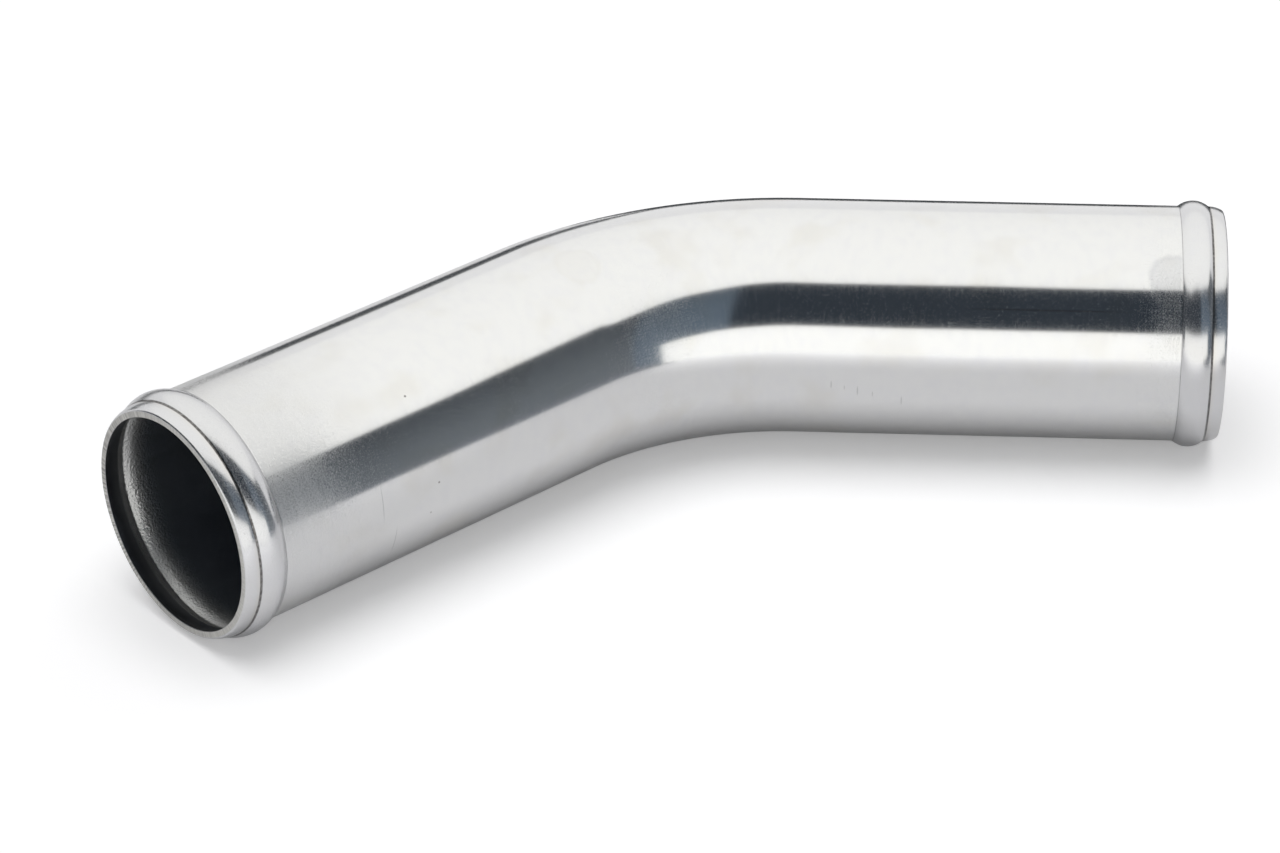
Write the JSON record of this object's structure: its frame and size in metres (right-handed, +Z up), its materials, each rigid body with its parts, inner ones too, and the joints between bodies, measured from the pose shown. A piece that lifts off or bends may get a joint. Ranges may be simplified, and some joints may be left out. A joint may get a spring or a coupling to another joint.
{
  "type": "cold air intake pipe",
  "caption": "Bent round aluminium air intake pipe, open at both ends, with a rolled bead and a short lip near each end to hold a clamped hose.",
  "frame": {"origin": "under the middle of the pipe's box, on the surface that its two beads rest on", "axes": "+X along the outlet leg, out of its mouth; +Z up, square to the plane of the bend; the inlet leg runs towards -X and -Y"},
  "size_m": [0.2888, 0.1686, 0.0665],
  "materials": {
    "polished_aluminium": "polished outside, plain drawn finish in the bore"
  },
  "bodies": {
    "root": {"intake_pipe": "polished_aluminium"}
  },
  "joints": []
}
